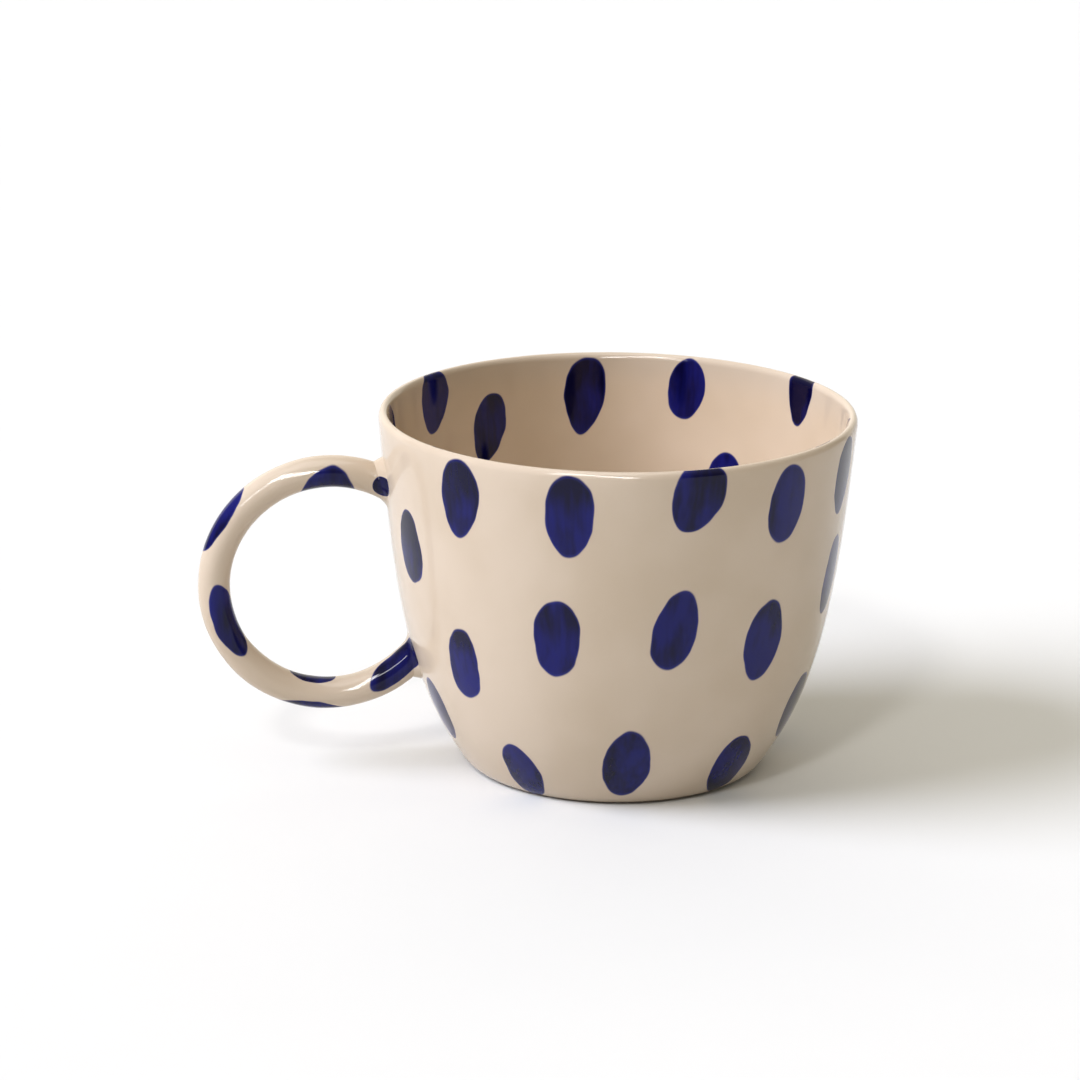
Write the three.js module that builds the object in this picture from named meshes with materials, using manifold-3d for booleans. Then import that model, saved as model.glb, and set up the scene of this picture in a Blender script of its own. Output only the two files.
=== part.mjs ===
// A stoneware mug: a round-bellied cup with a ring handle luted on at two points.
//
// The cup stands on its flat foot with its axis on Z, and the handle is on its -X side.
// Units are millimetres, +Z is up, and the origin is the middle of the foot.

import * as THREE from 'three';
import { mergeVertices } from 'three/addons/utils/BufferGeometryUtils.js';
import Module from 'manifold-3d';

const wasm = await Module();
wasm.setup();

// ---- Driving dimensions ----

const HEIGHT = 80.3; // foot to the top of the lip
const RIM_RADIUS = 52.5; // outside of the lip
const FOOT_RADIUS = 32.5; // where the belly's curve would reach the table
const FOOT_EDGE = 2.2; // height of the small round between belly and foot
const LIP = 2.2; // thickness of the wall at the lip
const LIP_CROWN = 1.6; // height of the lip's round top
const FLOOR = 6; // thickness of the floor
const FLOOR_FLAT = 14; // radius of the level part of the floor, inside

const RING_RADIUS = 25.4; // handle ring, on the middle of the rod
const ROD_RADIUS = 3.5; // half the thickness of the rod
const RING_X = -63.5; // middle of the ring, measured from the cup's axis
const RING_Z = 42.6; // middle of the ring, above the foot

const SLIP_SPREAD = 2; // how far the slip flares out beyond the rod at the wall
const SLIP_CLIMB = 4; // how far the slip runs out along the rod
const SLIP_SKIN = 0.7; // thickness of the slip where it ends on the rod
const SLIP_DEPTH = 14; // length of the slip's blank inside the wall, all cut away
const GAP = 0.3; // clearance between pieces that touch

const CREAM = 0xdccfb8; // the glaze on every piece

// ---- How finely the curves are cut ----

const CUP_SIDES = 72;
const WALL_STEPS = 14;
const EDGE_STEPS = 3;
const LIP_STEPS = 6;
const ROD_SIDES = 20;
const RING_STEPS = 44;
const FLARE_STEPS = 6;
const FINE_STEPS = 200; // for finding a place on the wall
const SEARCH_STEP = 0.003; // radians round the ring, for finding where it meets the wall
const RUN_ON = 0.25; // radians that the blank rod runs on into the wall before it is cut

const LIP_Z = HEIGHT - LIP_CROWN;

// The outside of the wall is one cubic curve: it leaves the table steeply, rounds out
// into the belly and climbs to the lip with a slight flare.
const outerWall = new THREE.CubicBezierCurve(
  new THREE.Vector2(FOOT_RADIUS, 0),
  new THREE.Vector2(45.9, 18.4),
  new THREE.Vector2(49, 37.5),
  new THREE.Vector2(RIM_RADIUS, LIP_Z),
);

// The inside follows it a wall's thickness further in, with a wide round down to the floor.
const innerWall = new THREE.CubicBezierCurve(
  new THREE.Vector2(RIM_RADIUS - LIP, LIP_Z),
  new THREE.Vector2(45.6, 36),
  new THREE.Vector2(41.8, FLOOR),
  new THREE.Vector2(FLOOR_FLAT, FLOOR),
);

// ---- Shapes and solids ----

function glaze() {
  return new THREE.MeshStandardMaterial({ color: CREAM, roughness: 0.2, metalness: 0 });
}

// A profile that starts and ends on the axis, turned round Z.
function turned(points, sides) {
  const geometry = new THREE.LatheGeometry(points, sides);
  geometry.rotateX(Math.PI / 2);
  return geometry;
}

function toSolid(geometry) {
  const bare = geometry.clone();
  bare.deleteAttribute('normal');
  bare.deleteAttribute('uv');
  const merged = mergeVertices(bare);
  return new wasm.Manifold(
    new wasm.Mesh({
      numProp: 3,
      vertProperties: new Float32Array(merged.attributes.position.array),
      triVerts: new Uint32Array(merged.index.array),
    }),
  );
}

function toGeometry(solid) {
  const mesh = solid.getMesh();
  const geometry = new THREE.BufferGeometry();
  geometry.setAttribute('position', new THREE.BufferAttribute(mesh.vertProperties, 3));
  geometry.setIndex(new THREE.BufferAttribute(mesh.triVerts, 1));
  geometry.computeVertexNormals();
  return geometry;
}

// ---- Cup ----

// The cup is one thrown piece: flat foot, belly, rounded lip, and the hollow inside.
function cupBody() {
  const belly = outerWall.getPoints(WALL_STEPS).filter((point) => point.y > FOOT_EDGE);
  const edge = new THREE.QuadraticBezierCurve(
    new THREE.Vector2(FOOT_RADIUS - FOOT_EDGE, 0),
    new THREE.Vector2(FOOT_RADIUS, 0),
    belly[0],
  );
  const lip = new THREE.EllipseCurve(RIM_RADIUS - LIP / 2, LIP_Z, LIP / 2, LIP_CROWN, 0, Math.PI);
  const profile = [
    new THREE.Vector2(0, 0),
    ...edge.getPoints(EDGE_STEPS),
    ...belly.slice(1, -1),
    ...lip.getPoints(LIP_STEPS),
    ...innerWall.getPoints(WALL_STEPS).slice(1),
    new THREE.Vector2(0, FLOOR),
  ];
  return new THREE.Mesh(turned(profile, CUP_SIDES), glaze());
}

// The cup's outside as a full block, grown by the gap that its neighbours keep.
function cupBlock() {
  const wall = outerWall.getPoints(WALL_STEPS);
  const grown = wall.map((point) => new THREE.Vector2(point.x + GAP, point.y));
  const profile = [new THREE.Vector2(0, 0), ...grown, new THREE.Vector2(0, LIP_Z)];
  return toSolid(turned(profile, CUP_SIDES));
}

// ---- Handle ----

// The middle line of the rod: a circle in the XZ plane. Angles start at +X, towards the
// cup, and turn upwards.
class RingLine extends THREE.Curve {
  constructor(start, end) {
    super();
    this.start = start;
    this.end = end;
  }

  getPoint(t, target = new THREE.Vector3()) {
    const angle = this.start + t * (this.end - this.start);
    const x = RING_X + RING_RADIUS * Math.cos(angle);
    return target.set(x, 0, RING_Z + RING_RADIUS * Math.sin(angle));
  }
}

const wallPoints = outerWall.getPoints(FINE_STEPS);

function isClearOfWall(angle) {
  const x = RING_X + RING_RADIUS * Math.cos(angle);
  const z = RING_Z + RING_RADIUS * Math.sin(angle);
  const nearest = wallPoints.find((point) => point.y >= z);
  return x < -nearest.x;
}

// The ring angle at which the rod's middle line meets the outside of the wall, searched
// from the far side of the ring. turn is -1 to search over the top, and 1 underneath.
function angleAtWall(turn) {
  let angle = Math.PI;
  while (isClearOfWall(angle)) {
    angle += turn * SEARCH_STEP;
  }
  return angle;
}

const UPPER_ANGLE = angleAtWall(-1);
const LOWER_ANGLE = angleAtWall(1);

function rod(radius) {
  const section = new THREE.Shape();
  section.absarc(0, 0, radius, 0, 2 * Math.PI, false);
  return new THREE.ExtrudeGeometry(section, {
    extrudePath: new RingLine(UPPER_ANGLE - RUN_ON, LOWER_ANGLE + RUN_ON),
    steps: RING_STEPS,
    curveSegments: ROD_SIDES / 2,
    bevelEnabled: false,
  });
}

// The rod's two ends are cut to the wall, where they are scored and pressed on.
function handle() {
  const cut = toSolid(rod(ROD_RADIUS)).subtract(cupBlock());
  return new THREE.Mesh(toGeometry(cut), glaze());
}

// ---- Slip joints ----

// The slip's outline along the rod: thin on the rod, flaring in a quarter round to the
// wall, and straight on inside it. x is the distance from the middle of the rod, and y the
// distance out from the wall.
function flareOutline() {
  const thin = ROD_RADIUS + SLIP_SKIN;
  const wide = thin + SLIP_SPREAD;
  const flare = new THREE.EllipseCurve(
    wide, SLIP_CLIMB, SLIP_SPREAD, SLIP_CLIMB, 1.5 * Math.PI, Math.PI, true,
  );
  return [
    new THREE.Vector2(0, -SLIP_DEPTH),
    new THREE.Vector2(wide, -SLIP_DEPTH),
    ...flare.getPoints(FLARE_STEPS),
    new THREE.Vector2(0, SLIP_CLIMB),
  ];
}

// How far out along the rod the wall's line lies, for each millimetre away from the
// middle of the ring.
function slantAt(angle, outward) {
  const height = RING_Z + RING_RADIUS * Math.sin(angle);
  const along = wallPoints.findIndex((point) => point.y >= height);
  const climb = outerWall.getTangent(along / FINE_STEPS);
  const alongRod = outward * (climb.x * Math.sin(angle) + climb.y * Math.cos(angle));
  const awayFromRing = climb.y * Math.sin(angle) - climb.x * Math.cos(angle);
  return alongRod / awayFromRing;
}

// The blank is turned straight, then bent along the ring with its foot slanted to lie on
// the wall. outward is the sense of ring angle that leads from the wall out along the rod.
function slipBlank(angle, outward) {
  const geometry = new THREE.LatheGeometry(flareOutline(), ROD_SIDES * 2);
  const place = geometry.attributes.position;
  const slant = slantAt(angle, outward);
  for (let i = 0; i < place.count; i += 1) {
    const radius = RING_RADIUS + place.getX(i);
    const along = place.getY(i) + place.getX(i) * slant;
    const turn = angle + (outward * along) / RING_RADIUS;
    const side = -outward * place.getZ(i);
    place.setXYZ(i, RING_X + radius * Math.cos(turn), side, RING_Z + radius * Math.sin(turn));
  }
  return toSolid(geometry);
}

// A collar of slip round the rod's end, pressed into the corner and wiped to a flare.
function slipJoint(angle, outward) {
  const bore = toSolid(rod(ROD_RADIUS + GAP));
  const collar = slipBlank(angle, outward).subtract(cupBlock()).subtract(bore);
  return new THREE.Mesh(toGeometry(collar), glaze());
}

// ---- The mug ----

const pieces = {
  cup_body: cupBody(),
  handle: handle(),
  upper_slip_joint: slipJoint(UPPER_ANGLE, 1),
  lower_slip_joint: slipJoint(LOWER_ANGLE, -1),
};

const mug = new THREE.Group();
for (const [name, piece] of Object.entries(pieces)) {
  piece.name = name;
  mug.add(piece);
}

export default mug;
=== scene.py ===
import math

import bmesh
import bpy
from mathutils import Matrix, Vector, geometry, noise


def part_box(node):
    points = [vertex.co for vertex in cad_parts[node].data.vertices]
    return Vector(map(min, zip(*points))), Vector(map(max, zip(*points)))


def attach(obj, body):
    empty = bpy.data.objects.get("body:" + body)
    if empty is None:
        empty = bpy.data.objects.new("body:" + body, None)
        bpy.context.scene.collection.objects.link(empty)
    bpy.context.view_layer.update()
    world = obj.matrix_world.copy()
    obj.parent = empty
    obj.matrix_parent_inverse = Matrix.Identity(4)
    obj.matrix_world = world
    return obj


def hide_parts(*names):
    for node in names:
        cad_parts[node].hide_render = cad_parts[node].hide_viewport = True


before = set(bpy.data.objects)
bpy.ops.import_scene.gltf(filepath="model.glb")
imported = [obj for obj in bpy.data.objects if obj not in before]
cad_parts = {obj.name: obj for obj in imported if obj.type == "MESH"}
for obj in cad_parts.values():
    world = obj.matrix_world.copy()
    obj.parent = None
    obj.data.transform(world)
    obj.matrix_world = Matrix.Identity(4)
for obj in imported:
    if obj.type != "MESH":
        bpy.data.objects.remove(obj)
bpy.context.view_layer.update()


# ---- Cup ----
# The cup is one piece of light stoneware, thrown thin and turned down to a narrow flat
# foot. It is dipped in a warm cream gloss glaze inside and out, with rows of cobalt dabs
# under the glaze, each one press of a loaded brush, and its foot is wiped bare.

MM = 0.001
cup_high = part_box("cup_body")[1]
RIM = cup_high[0]
HEIGHT = cup_high[2]
LIP = 2.2 * MM
LIP_CROWN = 1.6 * MM
LIP_Z = HEIGHT - LIP_CROWN
FOOT = 32.5 * MM
FOOT_EDGE = 2.2 * MM
FLOOR = 6 * MM
FLOOR_FLAT = 14 * MM
WIPED = 1.0 * MM
HAND_WANDER = 0.15 * MM
HAND_SPAN = 60 * MM

# How finely the cup's curves are cut, and how near two points are to be the same one.
SPIN_STEPS = 192
WALL_STEPS = 44
EDGE_STEPS = 7
LIP_STEPS = 12
FINE_STEPS = 400
SAME_PLACE = 0.001 * MM

# The cup's three finishes: outside, inside, and the foot that is wiped bare.
OUTSIDE, INSIDE, BARE = range(3)

# Control points of the two sides of the wall, as radius and height.
BELLY = ((FOOT, 0), (45.9 * MM, 18.4 * MM), (49 * MM, 37.5 * MM), (RIM, LIP_Z))
HOLLOW = (
    (RIM - LIP, LIP_Z), (45.6 * MM, 36 * MM), (41.8 * MM, FLOOR), (FLOOR_FLAT, FLOOR),
)


def side_of_wall(corners, steps):
    knots = [Vector((radius, 0, height)) for radius, height in corners]
    return geometry.interpolate_bezier(*knots, steps)


belly_line = side_of_wall(BELLY, FINE_STEPS)
hollow_line = side_of_wall(HOLLOW, FINE_STEPS)


# The radius of one side of the wall at a height, and how far it leans out there.
def wall_at(height, line):
    for low, high in zip(line, line[1:]):
        bottom, top = sorted((low.z, high.z))
        if bottom <= height <= top and top > bottom:
            part = (height - low.z) / (high.z - low.z)
            lean = math.atan2(high.x - low.x, high.z - low.z)
            return low.x + part * (high.x - low.x), math.remainder(lean, math.pi)
    end = max(line, key=lambda point: point.z)
    return end.x, 0.0


# The cup's outline, from the middle of its foot, out and up over the lip, and down inside
# to the middle of its floor.
def cup_profile():
    belly = [point for point in side_of_wall(BELLY, WALL_STEPS) if point.z > FOOT_EDGE]
    flat = [Vector((FOOT * part, 0, 0)) for part in (0, 0.25, 0.5, 0.75)]
    start, corner, end = Vector((FOOT - FOOT_EDGE, 0, 0)), Vector((FOOT, 0, 0)), belly[0]
    edge = geometry.interpolate_bezier(
        start, start.lerp(corner, 2 / 3), end.lerp(corner, 2 / 3), end, EDGE_STEPS,
    )
    lip = []
    for step in range(LIP_STEPS + 1):
        turn = math.pi * step / LIP_STEPS
        out = RIM - LIP / 2 + LIP / 2 * math.cos(turn)
        lip.append(Vector((out, 0, LIP_Z + LIP_CROWN * math.sin(turn))))
    hollow = side_of_wall(HOLLOW, WALL_STEPS)
    middle = [Vector((FLOOR_FLAT * part, 0, FLOOR)) for part in (0.66, 0.33, 0)]
    return flat + edge + belly[1:-1] + lip + hollow[1:] + middle


# How far the wall wanders in or out at a place, as a hand leaves it. The foot stays true.
def by_hand(place):
    return noise.noise(place / HAND_SPAN) * HAND_WANDER * place.z / HEIGHT


def new_piece(name, bm, materials):
    mesh = bpy.data.meshes.new(name)
    bm.to_mesh(mesh)
    bm.free()
    for material in materials:
        mesh.materials.append(material)
    mesh.shade_smooth()
    piece = bpy.data.objects.new(name, mesh)
    bpy.context.scene.collection.objects.link(piece)
    return piece


# Lays a piece's surface out flat: across is the turn round the piece, from 0 to 1, and up
# is the way along it. At a pole, which has no turn, it takes its face's own.
def lay_out_strip(bm, along, turn_of):
    strip = bm.loops.layers.uv.new("OFBake")
    for face in bm.faces:
        turns = [turn_of(loop.vert.co) for loop in face.loops]
        known = [turn for turn in turns if turn is not None]
        crosses = max(known) - min(known) > 0.5
        known = [turn + 1 if crosses and turn < 0.5 else turn for turn in known]
        middle = sum(known) / len(known)
        for loop, turn in zip(face.loops, turns):
            if turn is None:
                turn = middle
            elif crosses and turn < 0.5:
                turn += 1
            loop[strip].uv = (turn, loop.vert[along])


profile = cup_profile()
bm = bmesh.new()
along = bm.verts.layers.float.new("along")
lengths = [0.0]
for low, high in zip(profile, profile[1:]):
    lengths.append(lengths[-1] + (high - low).length)
line = [bm.verts.new(point) for point in profile]
for vert, length in zip(line, lengths):
    vert[along] = length / lengths[-1]
edges = [bm.edges.new(pair) for pair in zip(line, line[1:])]
bmesh.ops.spin(
    bm, geom=line + edges, cent=(0, 0, 0), axis=(0, 0, 1), dvec=(0, 0, 0),
    angle=2 * math.pi, steps=SPIN_STEPS, use_merge=True, use_duplicate=False,
)
bmesh.ops.remove_doubles(bm, verts=bm.verts, dist=SAME_PLACE)
bmesh.ops.recalc_face_normals(bm, faces=bm.faces)


def turn_round_cup(place):
    if place.xy.length < SAME_PLACE:
        return None
    return (math.atan2(place.y, place.x) / math.tau) % 1


lay_out_strip(bm, along, turn_round_cup)
crown = max(range(len(profile)), key=lambda i: profile[i].z)
crown_end = lengths[crown] / lengths[-1]
for face in bm.faces:
    middle = sum(vert[along] for vert in face.verts) / len(face.verts)
    if middle > crown_end:
        face.material_index = INSIDE
    elif max(vert.co.z for vert in face.verts) < WIPED:
        face.material_index = BARE
for vert in bm.verts:
    out = Vector((vert.co.x, vert.co.y, 0))
    if vert.co.z > 0 and out.length > 0:
        vert.co += out.normalized() * by_hand(vert.co)


def add(tree, kind, **settings):
    node = tree.nodes.new(kind)
    for name, value in settings.items():
        setattr(node, name, value)
    return node


def feed(tree, socket, value):
    if isinstance(value, bpy.types.NodeSocket):
        tree.links.new(value, socket)
    else:
        socket.default_value = value


def reckon(tree, operation, *values):
    node = add(tree, "ShaderNodeMath", operation=operation)
    for socket, value in zip(node.inputs, values):
        feed(tree, socket, value)
    return node.outputs[0]


def between(tree, value, low, high, out_low=0.0, out_high=1.0):
    node = add(tree, "ShaderNodeMapRange", interpolation_type="SMOOTHSTEP")
    for socket, given in zip(node.inputs, (value, low, high, out_low, out_high)):
        feed(tree, socket, given)
    return node.outputs[0]


def blend_colours(tree, part, first, second):
    node = add(tree, "ShaderNodeMix", data_type="RGBA")
    feed(tree, node.inputs[0], part)
    feed(tree, node.inputs[6], first)
    feed(tree, node.inputs[7], second)
    return node.outputs[2]


def grain(tree, place, size, detail=2.0, stretch=(1, 1, 1)):
    spread = add(tree, "ShaderNodeMapping")
    feed(tree, spread.inputs["Vector"], place)
    spread.inputs["Scale"].default_value = [1 / (size * part) for part in stretch]
    node = add(tree, "ShaderNodeTexNoise")
    feed(tree, node.inputs["Vector"], spread.outputs[0])
    node.inputs["Scale"].default_value = 1
    node.inputs["Detail"].default_value = detail
    return node


# One press of the brush: 0 at its middle and 1 at its edge. Egg makes its top wider than
# its bottom, and Along runs from -1 at the bottom to 1 at the top.
def brush_press():
    tree = bpy.data.node_groups.new("brush_press", "ShaderNodeTree")
    face = tree.interface
    for name in ("Place", "Middle", "Turn", "Reach"):
        face.new_socket(name, in_out="INPUT", socket_type="NodeSocketVector")
    face.new_socket("Egg", in_out="INPUT", socket_type="NodeSocketFloat")
    face.new_socket("Edge", in_out="OUTPUT", socket_type="NodeSocketFloat")
    face.new_socket("Along", in_out="OUTPUT", socket_type="NodeSocketFloat")
    given = add(tree, "NodeGroupInput")
    result = add(tree, "NodeGroupOutput")
    laid = add(tree, "ShaderNodeMapping", vector_type="TEXTURE")
    for socket, name in zip(laid.inputs, ("Place", "Middle", "Turn", "Reach")):
        feed(tree, socket, given.outputs[name])
    parts = add(tree, "ShaderNodeSeparateXYZ")
    feed(tree, parts.inputs[0], laid.outputs[0])
    width = reckon(tree, "MULTIPLY_ADD", parts.outputs[2], given.outputs["Egg"], 1.0)
    whole = add(tree, "ShaderNodeCombineXYZ")
    feed(tree, whole.inputs[0], reckon(tree, "DIVIDE", parts.outputs[0], width))
    feed(tree, whole.inputs[1], parts.outputs[1])
    feed(tree, whole.inputs[2], parts.outputs[2])
    length = add(tree, "ShaderNodeVectorMath", operation="LENGTH")
    feed(tree, length.inputs[0], whole.outputs[0])
    feed(tree, result.inputs["Edge"], length.outputs["Value"])
    feed(tree, result.inputs["Along"], parts.outputs[2])
    return tree


BRUSH_PRESS = brush_press()

# The middle part of a noise, which most of it keeps to.
CLOUDY = (0.3, 0.7)

# The glaze's two creams are where it lies thick and where it lies thin.
CREAM = ((0.515, 0.417, 0.312, 1), (0.555, 0.456, 0.352, 1))
# The inside's warmer creams: partly thicker poured glaze, partly painted shade for the warm light
# bouncing round the cup's hollow.
CREAM_POOLED_AND_SHADED = ((0.550, 0.427, 0.302, 1), (0.590, 0.466, 0.342, 1))
POOL_AND_SHADE_DEPTH = 9 * MM
THICKNESS_CLOUD = 22 * MM
COBALT_DEEP = (0.002, 0.0015, 0.020, 1)
COBALT = (0.005, 0.006, 0.100, 1)
COBALT_THIN = (0.022, 0.028, 0.190, 1)
GLAZE_IOR = 1.32
GLAZE_ROUGH = 0.05
GLAZE_ROUGHER = 0.10
ROUGH_CLOUD = 9 * MM

# How far the edge of a dab strays, and over what length.
EDGE_WANDER = 2.4 * MM
EDGE_SPAN = 11 * MM

# The glaze's small unevenness: a soft ripple, the thickness of the dabs, and pinholes.
RIPPLE = 0.03 * MM
RIPPLE_SPAN = 6 * MM
DAB_RELIEF = 0.015 * MM
PINHOLE_DEPTH = 0.05 * MM
PINHOLE = 0.22 * MM
PINHOLE_APART = 14 * MM

# What makes one part of a dab paler than another, and how much each counts.
PRESS_APART = 17 * MM
POOL_SIZE = 4 * MM
BRISTLE_SIZE = 1.2 * MM
LOAD_SHARE = 1.6
POOL_SHARE = 1.2
BRISTLE_SHARE = 0.6
RUN_SHARE = 0.12
EVEN_TONE = -1.1
TONE_RANGE = (0.2, 1.0)

# A dab's edge is at 1. It thins from a little inside that, and its outline is soft.
THIN_EDGE = (0.9, 1.0)
THIN_SHARE = 0.5
SOFT_EDGE = (0.975, 1.03)
NO_DAB = 9.0


# How thin the cobalt is: some presses are fuller than others, it pools, keeps the marks of
# the bristles, and runs thin towards the end of the stroke.
def cobalt_tone(tree, place, bent, run):
    load = grain(tree, place, PRESS_APART, 0.0)
    pool = grain(tree, bent, POOL_SIZE, 1.0, (1, 1, 2.5))
    bristles = grain(tree, bent, BRISTLE_SIZE, 1.0, (1, 1, 9))
    tone = reckon(tree, "MULTIPLY_ADD", load.outputs[0], LOAD_SHARE, EVEN_TONE)
    tone = reckon(tree, "MULTIPLY_ADD", pool.outputs[0], POOL_SHARE, tone)
    tone = reckon(tree, "MULTIPLY_ADD", bristles.outputs[0], BRISTLE_SHARE, tone)
    tone = reckon(tree, "MULTIPLY_ADD", run, -RUN_SHARE, tone)
    return between(tree, tone, *TONE_RANGE)


# The coat on every piece: cream glaze that varies a little in thickness, over the dabs.
# Where it is poured into the cup, from a little below the lip, it lies thicker and warmer;
# the warmth is partly painted shade, for the warm light that bounces round the hollow.
# Each dab is its middle, its turn, its reach across, into and along the clay, and its egg.
def painted_glaze(name, dabs, is_poured_and_shaded=False):
    material = bpy.data.materials.new(name)
    material.use_nodes = True
    tree = material.node_tree
    shader = tree.nodes["Principled BSDF"]
    shader.inputs["IOR"].default_value = GLAZE_IOR
    place = add(tree, "ShaderNodeTexCoord").outputs["Object"]

    wander = grain(tree, place, EDGE_SPAN, 2.0)
    bend = add(tree, "ShaderNodeVectorMath", operation="MULTIPLY_ADD")
    feed(tree, bend.inputs[0], wander.outputs["Color"])
    bend.inputs[1].default_value = (EDGE_WANDER,) * 3
    bend.inputs[2].default_value = (-EDGE_WANDER / 2,) * 3
    bent = add(tree, "ShaderNodeVectorMath", operation="ADD")
    feed(tree, bent.inputs[0], place)
    feed(tree, bent.inputs[1], bend.outputs[0])

    edge, run = NO_DAB, 0.0
    for middle, turn, reach, egg in dabs:
        press = add(tree, "ShaderNodeGroup", node_tree=BRUSH_PRESS)
        feed(tree, press.inputs["Place"], bent.outputs[0])
        press.inputs["Middle"].default_value = middle
        press.inputs["Turn"].default_value = turn
        press.inputs["Reach"].default_value = reach
        press.inputs["Egg"].default_value = egg
        nearer = reckon(tree, "LESS_THAN", press.outputs["Edge"], edge)
        pick = add(tree, "ShaderNodeMix", data_type="FLOAT")
        feed(tree, pick.inputs[0], nearer)
        feed(tree, pick.inputs[2], run)
        feed(tree, pick.inputs[3], press.outputs["Along"])
        run = pick.outputs[0]
        edge = reckon(tree, "MINIMUM", press.outputs["Edge"], edge)

    tone = cobalt_tone(tree, place, bent.outputs[0], run)
    cobalt = blend_colours(tree, tone, COBALT_DEEP, COBALT)
    thin = between(tree, edge, *THIN_EDGE, 0.0, THIN_SHARE)
    cobalt = blend_colours(tree, thin, cobalt, COBALT_THIN)
    thickness = grain(tree, place, THICKNESS_CLOUD, 2.0)
    thinness = between(tree, thickness.outputs[0], *CLOUDY)
    cream = blend_colours(tree, thinness, *CREAM)
    # Painted shade: below the lip the inside cream turns warmer, partly for thicker glaze, partly
    # for the light bouncing round the hollow.
    if is_poured_and_shaded:
        stands = add(tree, "ShaderNodeSeparateXYZ")
        feed(tree, stands.inputs[0], place)
        lip_to_pool_and_shade = between(tree, stands.outputs[2], HEIGHT - POOL_AND_SHADE_DEPTH, HEIGHT, 1.0, 0.0)
        pooled_and_shaded = blend_colours(tree, thinness, *CREAM_POOLED_AND_SHADED)
        cream = blend_colours(tree, lip_to_pool_and_shade, cream, pooled_and_shaded)
    painted = between(tree, edge, *SOFT_EDGE, 1.0, 0.0)
    feed(tree, shader.inputs["Base Color"], blend_colours(tree, painted, cream, cobalt))

    cloud = grain(tree, place, ROUGH_CLOUD, 3.0)
    rough = between(tree, cloud.outputs[0], *CLOUDY, GLAZE_ROUGH, GLAZE_ROUGHER)
    feed(tree, shader.inputs["Roughness"], rough)

    specks = add(tree, "ShaderNodeTexVoronoi")
    feed(tree, specks.inputs["Vector"], place)
    specks.inputs["Scale"].default_value = 1 / PINHOLE_APART
    holes = between(tree, specks.outputs["Distance"], 0, PINHOLE / PINHOLE_APART, -1.0, 0.0)
    ripple = grain(tree, place, RIPPLE_SPAN, 1.0)
    height = reckon(tree, "MULTIPLY", ripple.outputs[0], RIPPLE)
    height = reckon(tree, "MULTIPLY_ADD", painted, DAB_RELIEF, height)
    height = reckon(tree, "MULTIPLY_ADD", holes, PINHOLE_DEPTH, height)
    bump = add(tree, "ShaderNodeBump")
    bump.inputs["Distance"].default_value = 1
    bump.inputs["Strength"].default_value = 1
    feed(tree, bump.inputs["Height"], height)
    feed(tree, shader.inputs["Normal"], bump.outputs[0])
    return material


DAB_DEPTH = 4 * MM


# A dab on the wall, given as the turn round the cup in degrees, the height, half its width
# and half its length in millimetres, how far its top leans round the cup, and its egg.
def dab_on(line, turn, height, half_width, half_length, lean, egg):
    radius, tilt = wall_at(height * MM, line)
    turn = math.radians(turn)
    middle = (radius * math.cos(turn), radius * math.sin(turn), height * MM)
    laid = (
        Matrix.Rotation(turn + math.pi / 2, 3, "Z")
        @ Matrix.Rotation(tilt, 3, "X")
        @ Matrix.Rotation(math.radians(lean), 3, "Y")
    )
    reach = (half_width * MM, DAB_DEPTH, half_length * MM)
    return middle, laid.to_euler(), reach, egg


# The rows of dabs outside, from under the lip down to the foot, and the rows inside.
TOP_ROW = (
    (-139, 70.5, 4.9, 8.8, 7, 0.16), (-110, 70, 5.4, 9, 2, 0.16), (-80, 74.5, 6, 8, 14, 0.1),
    (-54.5, 70, 5.3, 8.8, 9, 0.12), (-28, 71, 5.2, 8.5, 4, 0.15), (-5, 69.5, 4.4, 8.5, 0, 0.2),
    (26, 71, 5.5, 9, 6, 0.1), (54, 70, 5, 9, 2, 0.2), (81, 72, 5.6, 8.5, 10, 0.12),
    (108, 69.5, 5.2, 9, 0, 0.18), (136, 71, 5.4, 9, 8, 0.1), (163, 70, 4.8, 8, -6, 0.16),
)
MIDDLE_ROW = (
    (-161, 55.2, 5, 8.2, 2, -0.1), (-143, 32, 4.7, 9, 8, -0.05), (-113.5, 42, 5.2, 9.2, 2, 0),
    (-83.5, 44.6, 5.1, 9.4, 10, -0.08), (-57, 39, 5.3, 9.6, 4, 0.04), (-27, 48, 4.6, 9, 6, 0),
    (2, 41, 5.2, 9, 3, 0.06), (31, 43, 5.4, 9.5, -3, 0), (60, 40, 5, 9, 6, 0.1),
    (88, 44, 5.3, 9.2, 2, -0.04), (116, 41, 5, 9, 8, 0.05), (144, 45, 5.2, 9.4, -2, 0),
    (166, 38, 4.6, 8, 4, 0.1),
)
BOTTOM_ROW = (
    (-165.5, 16, 4.6, 8, 2, 0), (-130.5, 7, 4.6, 8.2, -6, 0.05), (-94.5, 11.5, 5.4, 10, 2, -0.06),
    (-56, 8, 5.6, 8.5, -8, 0), (-30, 17.5, 5, 8.4, 0, 0.05), (12, 10, 5.2, 9, 6, 0),
    (46, 12, 5, 9, -4, 0.08), (80, 9, 5.4, 8.6, 2, 0), (113, 12, 5, 9.4, 5, -0.05),
    (146, 10, 5.2, 8.8, -3, 0),
)
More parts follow.
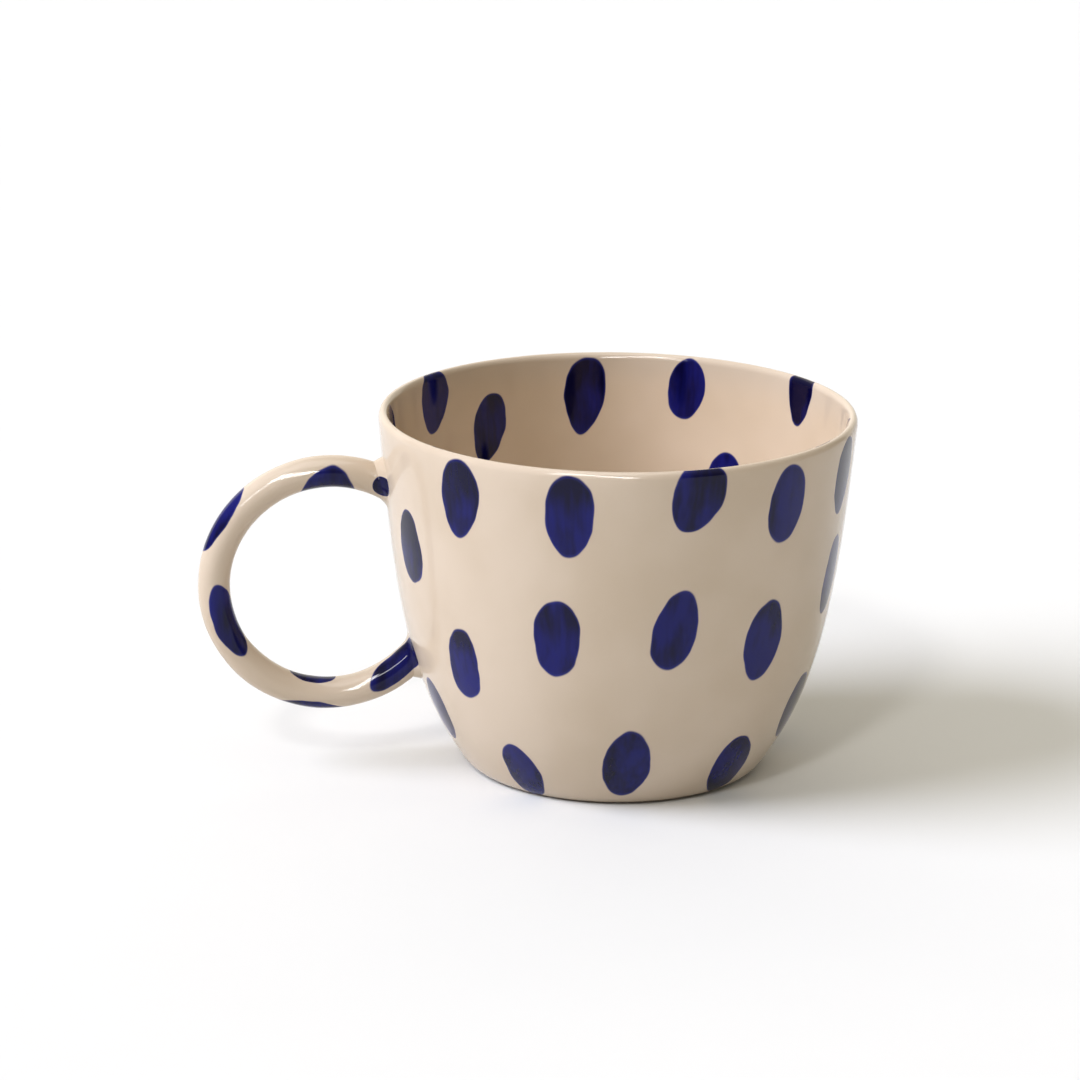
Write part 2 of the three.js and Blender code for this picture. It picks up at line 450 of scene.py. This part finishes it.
INSIDE_ROWS = (
    (137.5, 74.3, 5, 7.6, -14, 0.15), (118, 65.4, 4.4, 8, -18, 0.1), (90, 70.5, 4.7, 8.8, -6, 0.32),
    (62.5, 73, 4.5, 7, -8, 0), (26, 76.5, 4.2, 7, 0, 0.3), (-14, 72, 4.6, 8, 6, 0.1),
    (-40, 74, 5, 8, 0, 0.1), (-61, 71, 4.6, 8.5, 8, 0), (-90, 73, 5, 8, -4, 0.12),
    (-119, 70, 4.6, 8.6, 4, 0.1), (-147, 73, 4.8, 8, 0, 0), (168, 71, 4.6, 8, -8, 0.1),
    (50, 52, 4.6, 8, -10, 0), (104, 43, 4.6, 8, -4, 0), (77, 43, 4.8, 8.4, 0, 0.1),
    (12, 49, 4.6, 8, 6, 0), (-20, 47, 4.8, 8, -4, 0.1), (-48, 49, 4.6, 8.4, 2, 0),
    (-76, 47, 4.6, 8, 8, 0), (-105, 48, 4.8, 8.2, 0, 0.1), (-134, 50, 4.6, 8, -6, 0),
    (-164, 47, 4.8, 8, 0, 0), (152, 49, 4.6, 8.2, 4, 0.1), (128, 46, 4.4, 8, -6, 0),
)

outside_dabs = [dab_on(belly_line, *dab) for dab in TOP_ROW + MIDDLE_ROW + BOTTOM_ROW]
inside_dabs = [dab_on(hollow_line, *dab) for dab in INSIDE_ROWS]

CLAY_BUFF = (0.46, 0.35, 0.25, 1)
CLAY_PALE = (0.60, 0.48, 0.36, 1)
CLAY_GRIT = (0.24, 0.17, 0.12, 1)
# Darker brown along the top of the bare foot: partly toasted clay, partly painted shade for the
# foot's contact shadow.
CLAY_TOASTED_AND_SHADED = (0.13, 0.085, 0.055, 1)
CLAY_ROUGH = 0.85
CLAY_CLOUD = 6 * MM
GRIT_SIZE = 0.5 * MM
GRIT_SHOWS = (0.62, 0.72)
GRIT_SHARE = 0.6
GRIT_HEIGHT = 0.08 * MM
TURNING_LINE = 0.05 * MM
TURNING_LINES = 0.05 / MM
TURNING_WOBBLE = 1.5


# Fired stoneware, wiped clean of glaze: a dull warm buff with fine grit and turning lines,
# darker brown just under the glaze: partly toasted clay, partly painted shade for the
# contact shadow where the foot's edge meets the floor.
def bare_clay():
    material = bpy.data.materials.new("bare_clay")
    material.use_nodes = True
    tree = material.node_tree
    shader = tree.nodes["Principled BSDF"]
    place = add(tree, "ShaderNodeTexCoord").outputs["Object"]
    cloud = grain(tree, place, CLAY_CLOUD, 4.0)
    grit = grain(tree, place, GRIT_SIZE, 2.0)
    clay = blend_colours(tree, cloud.outputs[0], CLAY_BUFF, CLAY_PALE)
    dark = between(tree, grit.outputs[0], *GRIT_SHOWS, 0.0, GRIT_SHARE)
    clay = blend_colours(tree, dark, clay, CLAY_GRIT)
    climb = add(tree, "ShaderNodeSeparateXYZ")
    feed(tree, climb.inputs[0], place)
    # Painted shade: the top of the bare band, where the foot's edge meets the floor, is darkened,
    # partly for toasted clay.
    toasted_and_shaded = between(tree, climb.outputs[2], 0, WIPED / 2)
    clay = blend_colours(tree, toasted_and_shaded, clay, CLAY_TOASTED_AND_SHADED)
    feed(tree, shader.inputs["Base Color"], clay)
    shader.inputs["Roughness"].default_value = CLAY_ROUGH
    rings = add(tree, "ShaderNodeTexWave", wave_type="RINGS", rings_direction="Z")
    feed(tree, rings.inputs["Vector"], place)
    rings.inputs["Scale"].default_value = TURNING_LINES
    rings.inputs["Distortion"].default_value = TURNING_WOBBLE
    height = reckon(tree, "MULTIPLY", rings.outputs["Fac"], TURNING_LINE)
    height = reckon(tree, "MULTIPLY_ADD", grit.outputs[0], GRIT_HEIGHT, height)
    bump = add(tree, "ShaderNodeBump")
    bump.inputs["Distance"].default_value = 1
    feed(tree, bump.inputs["Height"], height)
    feed(tree, shader.inputs["Normal"], bump.outputs[0])
    return material


glaze_outside = painted_glaze("cream_glaze_outside", outside_dabs)
glaze_inside = painted_glaze("cream_glaze_inside", inside_dabs, is_poured_and_shaded=True)
cup = new_piece("cup", bm, (glaze_outside, glaze_inside, bare_clay()))
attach(cup, "root")
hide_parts("cup_body")


# ---- Handle ----
# The handle is a rod of the same clay, rolled round, bent to a ring and luted to the
# leather-hard cup by its two ends. Its dabs are pressed on all round the rod.

handle_low, handle_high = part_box("handle")
ROD = handle_high[1]
RING = 25.4 * MM
RING_MIDDLE = Vector((handle_low[0] + ROD + RING, 0, (handle_low[2] + handle_high[2]) / 2))
ROLL_SPAN = 11 * MM
ROLL_WANDER = 0.12 * MM
INTO_WALL = 1.2 * MM
ROD_SIDES = 48
RING_STEPS = 150

# How far the rod's blank runs on past the wall, in radians, and the part that a cut takes.
RUN_ON = 0.2
CUT_REACH = 4 * ROD

# Every line along the rod is clear of the wall at this turn round the ring.
CLEAR_OF_WALL = 0.7 * math.pi
HALVINGS = 24
ON_THE_CUT = 0.0001 * MM


# A point of the rod's surface: ring is the turn round the ring, from the cup upwards, and
# round_rod is the turn round the rod, from its outer side towards +Y.
def on_rod(ring, round_rod, rod=ROD):
    reach = RING + rod * math.cos(round_rod)
    side = rod * math.sin(round_rod)
    return RING_MIDDLE + Vector((reach * math.cos(ring), side, reach * math.sin(ring)))


# How much thicker or thinner the rod is at a turn round the ring, as it is rolled by hand.
def hand_rolled(ring):
    return noise.noise(on_rod(ring, 0, 0) / ROLL_SPAN) * ROLL_WANDER


def is_outside_wall(place):
    return place.xy.length > wall_at(place.z, belly_line)[0]


# The ring angle at which a line along the rod meets the wall. way is 1 for the upper end
# and -1 for the lower one.
def where_rod_meets_wall(round_rod, way):
    far, near = CLEAR_OF_WALL, 0.0
    for _ in range(HALVINGS):
        middle = (far + near) / 2
        if is_outside_wall(on_rod(way * middle, round_rod)):
            far = middle
        else:
            near = middle
    return way * far


upper_end = where_rod_meets_wall(math.pi / 2, 1)
lower_end = where_rod_meets_wall(math.pi / 2, -1)


# A dab on the rod, given as the turns round the ring and the rod in degrees, and how far it
# reaches along the rod, round it and into it in millimetres. Its two ends are alike.
def dab_on_rod(ring, round_rod, along, across, into):
    ring, round_rod = math.radians(ring), math.radians(round_rod)
    laid = Matrix.Rotation(-ring, 3, "Y") @ Matrix.Rotation(round_rod, 3, "Z")
    reach = (into * MM, across * MM, along * MM)
    return on_rod(ring, round_rod), laid.to_euler(), reach, 0.0


HANDLE_DABS = (
    (91.5, 182, 6.2, 6, 6), (146.5, 0, 8.8, 4, 3.6), (197.5, 236, 8.8, 3.4, 3.4),
    (260, 180, 5.6, 2.4, 2.6), (262, 0, 8.8, 4.2, 3.8), (311, 240, 9, 3.2, 3.4),
    (64, 266, 2.4, 2.3, 2.4), (122, 112, 6.4, 3.2, 3.4), (176, 86, 7.6, 3.3, 3.4),
    (226, 100, 8, 3.4, 3.4), (290, 80, 7.6, 3.3, 3.4), (70, 66, 5, 2.8, 3),
)
handle_dabs = [dab_on_rod(*dab) for dab in HANDLE_DABS]

glaze_handle = painted_glaze("cream_glaze_handle", handle_dabs)

bm = bmesh.new()
along = bm.verts.layers.float.new("along")
start = upper_end - RUN_ON
end = math.tau + lower_end + RUN_ON
section = bmesh.ops.create_circle(bm, cap_ends=False, segments=ROD_SIDES, radius=ROD)["verts"]
stand_up = (
    Matrix.Translation(RING_MIDDLE)
    @ Matrix.Rotation(-start, 4, "Y")
    @ Matrix.Translation((RING, 0, 0))
)
bmesh.ops.transform(bm, matrix=stand_up, verts=section)
bmesh.ops.spin(
    bm, geom=section + bm.edges[:], cent=RING_MIDDLE, axis=(0, 1, 0), dvec=(0, 0, 0),
    angle=-(end - start), steps=RING_STEPS, use_merge=False, use_duplicate=False,
)


# Cuts the rod off on a slant, just inside the wall, and closes it.
def cut_to_wall(bm, ring):
    place = on_rod(ring, math.pi / 2, 0)
    radius, tilt = wall_at(place.z, belly_line)
    inward = Vector((math.cos(tilt), 0, math.sin(tilt)))
    depth = Vector((-radius, 0, place.z)) + inward * INTO_WALL
    near = [v for v in bm.verts if (v.co - place).length < CUT_REACH]
    shape = near + [e for e in bm.edges if any(v in near for v in e.verts)]
    shape += [f for f in bm.faces if any(v in near for v in f.verts)]
    cut = bmesh.ops.bisect_plane(
        bm, geom=list(set(shape)), dist=ON_THE_CUT, plane_co=depth, plane_no=inward,
        clear_outer=True, clear_inner=False,
    )
    rim = [item for item in cut["geom_cut"] if isinstance(item, bmesh.types.BMEdge)]
    bmesh.ops.contextual_create(bm, geom=rim)


cut_to_wall(bm, upper_end)
cut_to_wall(bm, lower_end)
bmesh.ops.recalc_face_normals(bm, faces=bm.faces)
for vert in bm.verts:
    seen = vert.co - RING_MIDDLE
    ring = math.atan2(seen.z, seen.x) % math.tau
    vert[along] = (ring - start) / (end - start)
    out = (vert.co - on_rod(ring, 0, 0)).normalized()
    vert.co += out * hand_rolled(ring)


def turn_round_rod(place):
    seen = place - RING_MIDDLE
    return (math.atan2(seen.y, seen.xz.length - RING) / math.tau) % 1


lay_out_strip(bm, along, turn_round_rod)
ring_handle = new_piece("ring_handle", bm, (glaze_handle,))
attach(ring_handle, "root")
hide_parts("handle")


# ---- Slip joints ----
# Each end of the rod is stuck on with slip, and the slip that squeezes out is wiped into
# the corner with a finger and a wet brush. Under the glaze it is a small soft hollow.

SLIP_BURY = 0.7 * MM
SLIP_CREASE = math.radians(50)
SLIP_STEPS = 12
SLIP_SIDES = 96


# The place on the cup's outside at the same height and the same turn round the cup.
def put_on_wall(place):
    flat = place.xy.normalized() * wall_at(place.z, belly_line)[0]
    true = Vector((flat.x, flat.y, place.z))
    return true + Vector((flat.x, flat.y, 0)).normalized() * by_hand(true)


# The outline of the slip at one turn round the rod: from inside the rod, out over the soft
# hollow, and into the wall. It climbs up_rod along the rod and up_wall along the wall.
def slip_outline(round_rod, way, up_rod, up_wall):
    ring = where_rod_meets_wall(round_rod, way)
    corner = on_rod(ring, round_rod)
    edge = ring + way * up_rod / RING
    middle = on_rod(edge, 0, 0)
    on_the_rod = on_rod(edge, round_rod, ROD + hand_rolled(edge))
    heart = put_on_wall(on_rod(where_rod_meets_wall(math.pi / 2, way), 0, 0))
    on_the_wall = put_on_wall(corner + (corner - heart).normalized() * up_wall)
    inward = Vector((-on_the_wall.x, -on_the_wall.y, 0)).normalized()
    lifted = [on_the_rod.lerp(corner, 2 / 3), on_the_wall.lerp(corner, 2 / 3)]
    hollow = geometry.interpolate_bezier(on_the_rod, *lifted, on_the_wall, SLIP_STEPS)
    buried_in_rod = on_the_rod + (middle - on_the_rod).normalized() * SLIP_BURY
    return [buried_in_rod] + hollow + [on_the_wall + inward * SLIP_BURY]


# The outlines all round the rod are joined up to one closed ring of slip.
def slip_joint(name, node, way, up_rod, up_wall):
    bm = bmesh.new()
    count = SLIP_STEPS + 2
    bmesh.ops.create_grid(bm, x_segments=SLIP_SIDES, y_segments=count, size=1)
    outlines = []
    for step in range(SLIP_SIDES):
        turn = math.tau * step / SLIP_SIDES
        outlines.append(slip_outline(turn, way, up_rod, up_wall))
    for vert in bm.verts:
        step = round((vert.co.x + 1) / 2 * SLIP_SIDES) % SLIP_SIDES
        row = round((vert.co.y + 1) / 2 * count) % count
        vert.co = outlines[step][row]
    bmesh.ops.remove_doubles(bm, verts=bm.verts, dist=SAME_PLACE)
    bmesh.ops.recalc_face_normals(bm, faces=bm.faces)
    joint = new_piece(name, bm, (glaze_handle,))
    joint.data.set_sharp_from_angle(angle=SLIP_CREASE)
    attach(joint, "root")
    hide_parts(node)


slip_joint("upper_slip", "upper_slip_joint", 1, 2.6 * MM, 2.2 * MM)
slip_joint("lower_slip", "lower_slip_joint", -1, 2.2 * MM, 1.9 * MM)


# ---- Floor, light and camera ----
# The mug stands on a wide matt white sheet in a pale room. A wide window on its left is the
# key, and a small lamp stands in front. The strips are only seen mirrored in the glaze.

FLOOR_SIZE = 40
PAPER = (0.69, 0.687, 0.668, 1)
PAPER_PALE = (0.70, 0.697, 0.678, 1)
PAPER_CLOUD = 30 * MM
PAPER_ROUGH = 0.9
bm = bmesh.new()
bmesh.ops.create_grid(bm, x_segments=8, y_segments=8, size=FLOOR_SIZE / 2)


def white_paper():
    material = bpy.data.materials.new("white_paper")
    material.use_nodes = True
    tree = material.node_tree
    shader = tree.nodes["Principled BSDF"]
    place = add(tree, "ShaderNodeTexCoord").outputs["Object"]
    cloud = grain(tree, place, PAPER_CLOUD, 2.0)
    paper = blend_colours(tree, cloud.outputs[0], PAPER, PAPER_PALE)
    feed(tree, shader.inputs["Base Color"], paper)
    shader.inputs["Roughness"].default_value = PAPER_ROUGH
    shader.inputs["Specular IOR Level"].default_value = 0
    return material


floor = new_piece("floor", bm, (white_paper(),))

# The room lights the mug warmly, more from above, and most from a backdrop behind it. To
# the camera it is one even white.
SKY = 0.15
SKY_UPWARD = 0.56
BACKDROP = 1.0
BACKDROP_EDGE = (0.58, 0.68)
WARM_SKY = (1.0, 0.95, 0.83, 1)
ROOM_SEEN = (1, 1, 1, 1)
ROOM_SEEN_STRENGTH = 0.97
world = bpy.data.worlds.new("white_room")
world.use_nodes = True
bpy.context.scene.world = world
tree = world.node_tree
room = tree.nodes["Background"]
ways = add(tree, "ShaderNodeSeparateXYZ")
feed(tree, ways.inputs[0], add(tree, "ShaderNodeTexCoord").outputs["Generated"])
lit = reckon(tree, "MULTIPLY_ADD", ways.outputs[2], SKY_UPWARD, SKY)
behind = between(tree, ways.outputs[1], *BACKDROP_EDGE, 0.0, BACKDROP)
lit = reckon(tree, "ADD", lit, behind)
seen = add(tree, "ShaderNodeLightPath").outputs["Is Camera Ray"]
strength = add(tree, "ShaderNodeMix", data_type="FLOAT")
feed(tree, strength.inputs[0], seen)
feed(tree, strength.inputs[2], lit)
strength.inputs[3].default_value = ROOM_SEEN_STRENGTH
feed(tree, room.inputs["Color"], blend_colours(tree, seen, WARM_SKY, ROOM_SEEN))
feed(tree, room.inputs["Strength"], strength.outputs[0])


# A lamp's direction from the mug: how far in front of its left side, and how high, both in
# degrees.
def lamp_way(forward, high):
    forward, high = math.radians(forward), math.radians(high)
    return Vector((
        -math.cos(forward) * math.cos(high), -math.sin(forward) * math.cos(high), math.sin(high),
    ))


def new_lamp(name, kind, way, far, power, roll=0):
    lamp = bpy.data.lights.new(name, kind)
    lamp.energy = power
    piece = bpy.data.objects.new(name, lamp)
    bpy.context.scene.collection.objects.link(piece)
    piece.location = way * far
    facing = way.to_track_quat("Z", "Y").to_matrix() @ Matrix.Rotation(math.radians(roll), 3, "Z")
    piece.rotation_euler = facing.to_euler()
    piece.visible_camera = False
    return lamp, piece


# The window's cool light is soft, and isn't mirrored in the glaze.
WINDOW_WAY = lamp_way(6, 38)
WINDOW_POWER = 3.7
WINDOW_ANGLE = math.radians(36)
WINDOW_COOL = (0.94, 0.98, 1.14)
window, window_piece = new_lamp("window", "SUN", WINDOW_WAY, 1, WINDOW_POWER)
window.angle = WINDOW_ANGLE
window.color = WINDOW_COOL
window_piece.visible_glossy = False

# The small lamp in front gives the handle the firmer edge of its shadow.
FRONT_WAY = lamp_way(62, 43)
FRONT_POWER = 0.6
FRONT_ANGLE = math.radians(7)
front_lamp, front_piece = new_lamp("front_lamp", "SUN", FRONT_WAY, 1, FRONT_POWER)
front_lamp.angle = FRONT_ANGLE
front_piece.visible_glossy = False

# The strips that the glaze mirrors as thin highlights. Each is its name, how far forward and
# how high it stands in degrees, its width and length in metres, its power, and its roll.
STRIPS_FAR = 2.0
STRIPS = (
    ("slanted_strip", 72, 36, 0.3, 1.6, 50, 45), ("low_strip", 86, 17, 0.16, 0.35, 3.5, 0),
    ("side_strip", 53, 32, 0.2, 0.7, 10, -35), ("top_strip", 60, 78, 1.4, 1.4, 20, 0),
)
for name, forward, high, width, length, power, roll in STRIPS:
    way = lamp_way(forward, high)
    strip, strip_piece = new_lamp(name, "AREA", way, STRIPS_FAR, power, roll)
    strip.shape = "RECTANGLE"
    strip.size = width
    strip.size_y = length
    strip_piece.visible_diffuse = False

VIEW_TURN = math.radians(-8)
VIEW_HIGH = math.radians(16.46)
VIEW_ROLL = math.radians(0.63)
VIEW_FAR = 1.0
AIM = Vector((-16.2 * MM, 5.1 * MM, 49.4 * MM))
LENS = 150.35
SENSOR = 36
NEAREST = 0.01
FARTHEST = 60
camera = bpy.data.cameras.new("camera")
camera.lens = LENS
camera.sensor_width = SENSOR
camera.clip_start = NEAREST
camera.clip_end = FARTHEST
camera_piece = bpy.data.objects.new("camera", camera)
bpy.context.scene.collection.objects.link(camera_piece)
turned = (
    Matrix.Rotation(VIEW_TURN, 4, "Z")
    @ Matrix.Rotation(math.pi / 2 - VIEW_HIGH, 4, "X")
    @ Matrix.Rotation(VIEW_ROLL, 4, "Z")
)
camera_piece.matrix_world = Matrix.Translation(AIM) @ turned @ Matrix.Translation((0, 0, VIEW_FAR))
bpy.context.scene.camera = camera_piece
bpy.context.scene.view_settings.view_transform = "Standard"
